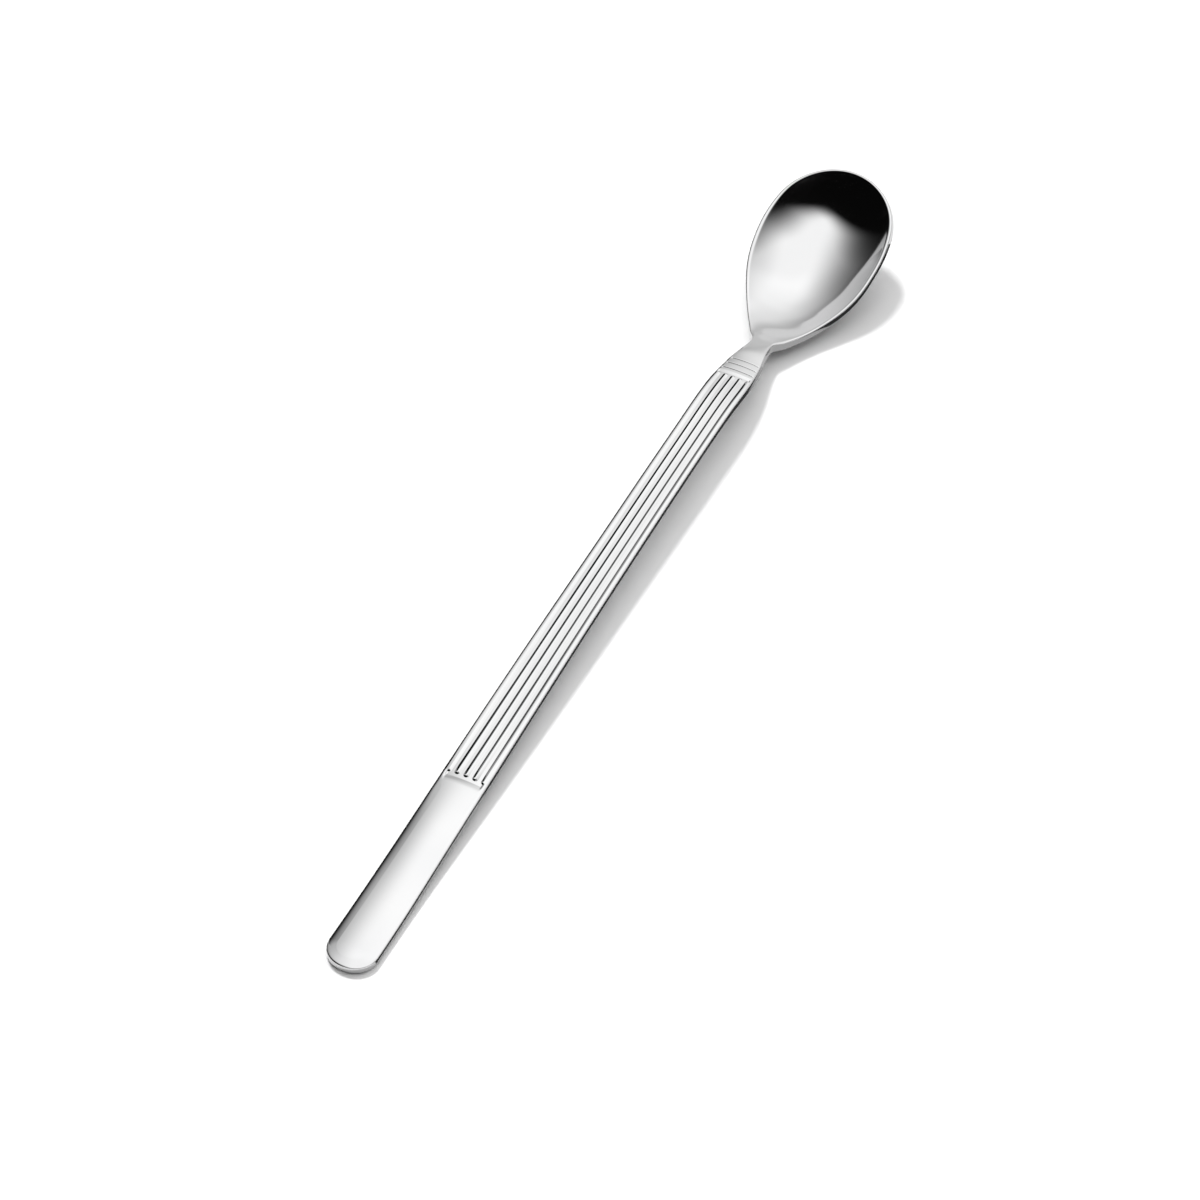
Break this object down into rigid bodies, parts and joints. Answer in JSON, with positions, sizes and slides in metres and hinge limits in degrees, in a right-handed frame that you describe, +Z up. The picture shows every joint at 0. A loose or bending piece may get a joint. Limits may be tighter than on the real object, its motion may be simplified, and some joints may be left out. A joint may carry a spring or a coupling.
{
  "type": "iced tea spoon",
  "caption": "Long-handled spoon with a small egg-shaped hollow bowl, a drop neck, a ringed collar, a fluted shank and a plain rounded end pad, in polished stainless steel.",
  "frame": {"origin": "on the table under the middle of the spoon's length and width, with the spoon lying on its bowl and the end of its handle", "axes": "+X along the spoon from the end of the handle to the tip of the bowl, +Y to the left across it, +Z up out of the hollow of the bowl"},
  "size_m": [0.1999, 0.025, 0.0144],
  "materials": {
    "steel": "polished"
  },
  "bodies": {
    "root": {"end_pad": "steel", "fluted_shank": "steel", "collar": "steel", "neck": "steel", "bowl": "steel"}
  },
  "joints": []
}
